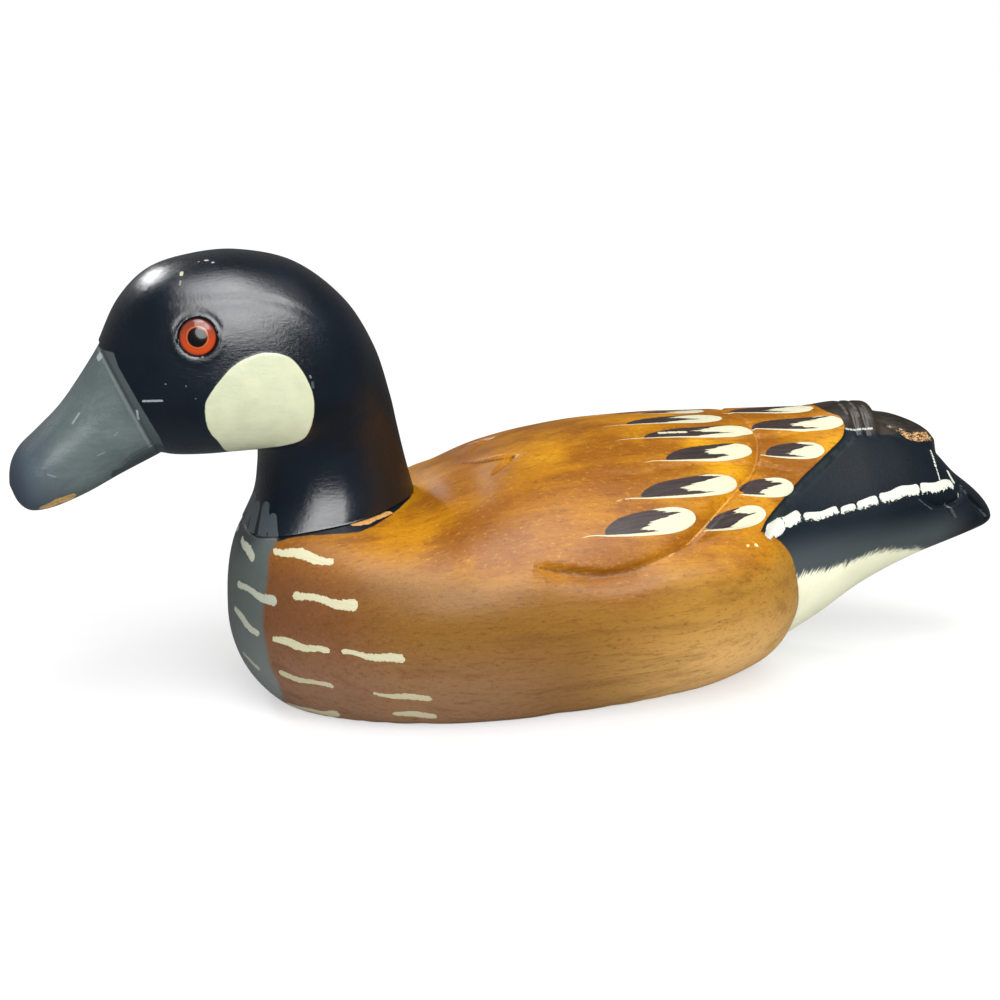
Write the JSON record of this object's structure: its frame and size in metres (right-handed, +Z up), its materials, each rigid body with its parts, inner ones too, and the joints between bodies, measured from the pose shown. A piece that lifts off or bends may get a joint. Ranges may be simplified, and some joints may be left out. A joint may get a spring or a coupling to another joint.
{
  "type": "duck decoy",
  "caption": "Carved wooden duck decoy with a flat base, a rounded head on a short neck, a broad bill, folded wings over a pointed tail, and glass eyes.",
  "frame": {"origin": "middle of the flat underside's plane, below the centre of the whole length", "axes": "+X towards the tip of the bill, +Y towards the duck's left side, +Z up"},
  "size_m": [0.3106, 0.114, 0.1336],
  "materials": {
    "body_wood": "amber stain and hand-painted marks under a satin lacquer",
    "head_paint": "blue-black satin paint with a cream cheek and a grey bill",
    "eye_glass": "clear glossy dome over an orange iris with a black pupil"
  },
  "bodies": {
    "root": {"body": "body_wood", "head": "head_paint", "eye_left": "eye_glass", "eye_right": "eye_glass"}
  },
  "joints": []
}
